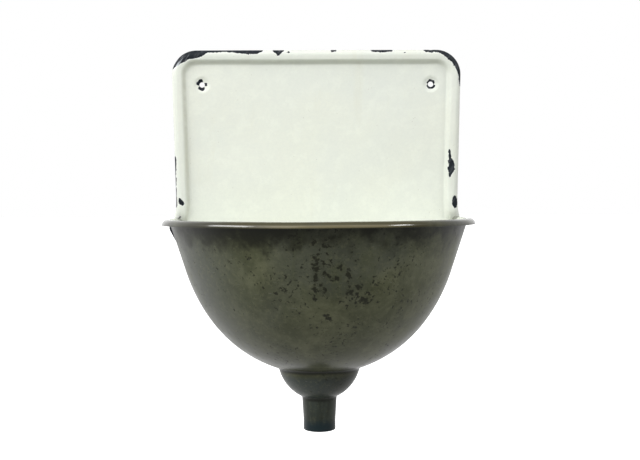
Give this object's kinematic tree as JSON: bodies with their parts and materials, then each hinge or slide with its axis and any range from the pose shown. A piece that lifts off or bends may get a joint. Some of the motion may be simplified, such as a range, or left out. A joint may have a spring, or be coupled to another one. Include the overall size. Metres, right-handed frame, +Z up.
{
  "type": "drinking fountain basin",
  "caption": "Wall-hung enamelled steel drinking fountain basin with splashback, half-round bowl, trap cup, drain spigot and lift-out bell-trap strainer.",
  "frame": {"origin": "midpoint of the two screw holes, on the wall plane", "axes": "+Z up along the wall, +Y into the wall, -Y towards the person using it"},
  "size_m": [0.362, 0.2705, 0.4398],
  "materials": {
    "white_enamel": "glossy fired enamel, warm white, chipped to dark ground coat on the border",
    "grey_enamel": "satin grey-green enamel outside, mottled and worn; white inside the bowl",
    "aged_brass": "dull, water-stained"
  },
  "bodies": {
    "root": {"back_panel": "white_enamel", "bowl": "grey_enamel", "sump_cup": "grey_enamel", "drain_spigot": "grey_enamel", "standpipe": "aged_brass"},
    "strainer": {"strainer_plate": "aged_brass", "trap_bell": "aged_brass", "pull_stud": "aged_brass", "stud_nut": "aged_brass"}
  },
  "joints": [
    {"name": "strainer_lift", "type": "slide", "parent": "root", "child": "strainer", "axis": [0, 0, 1], "range_m": [0, 0.21]}
  ]
}
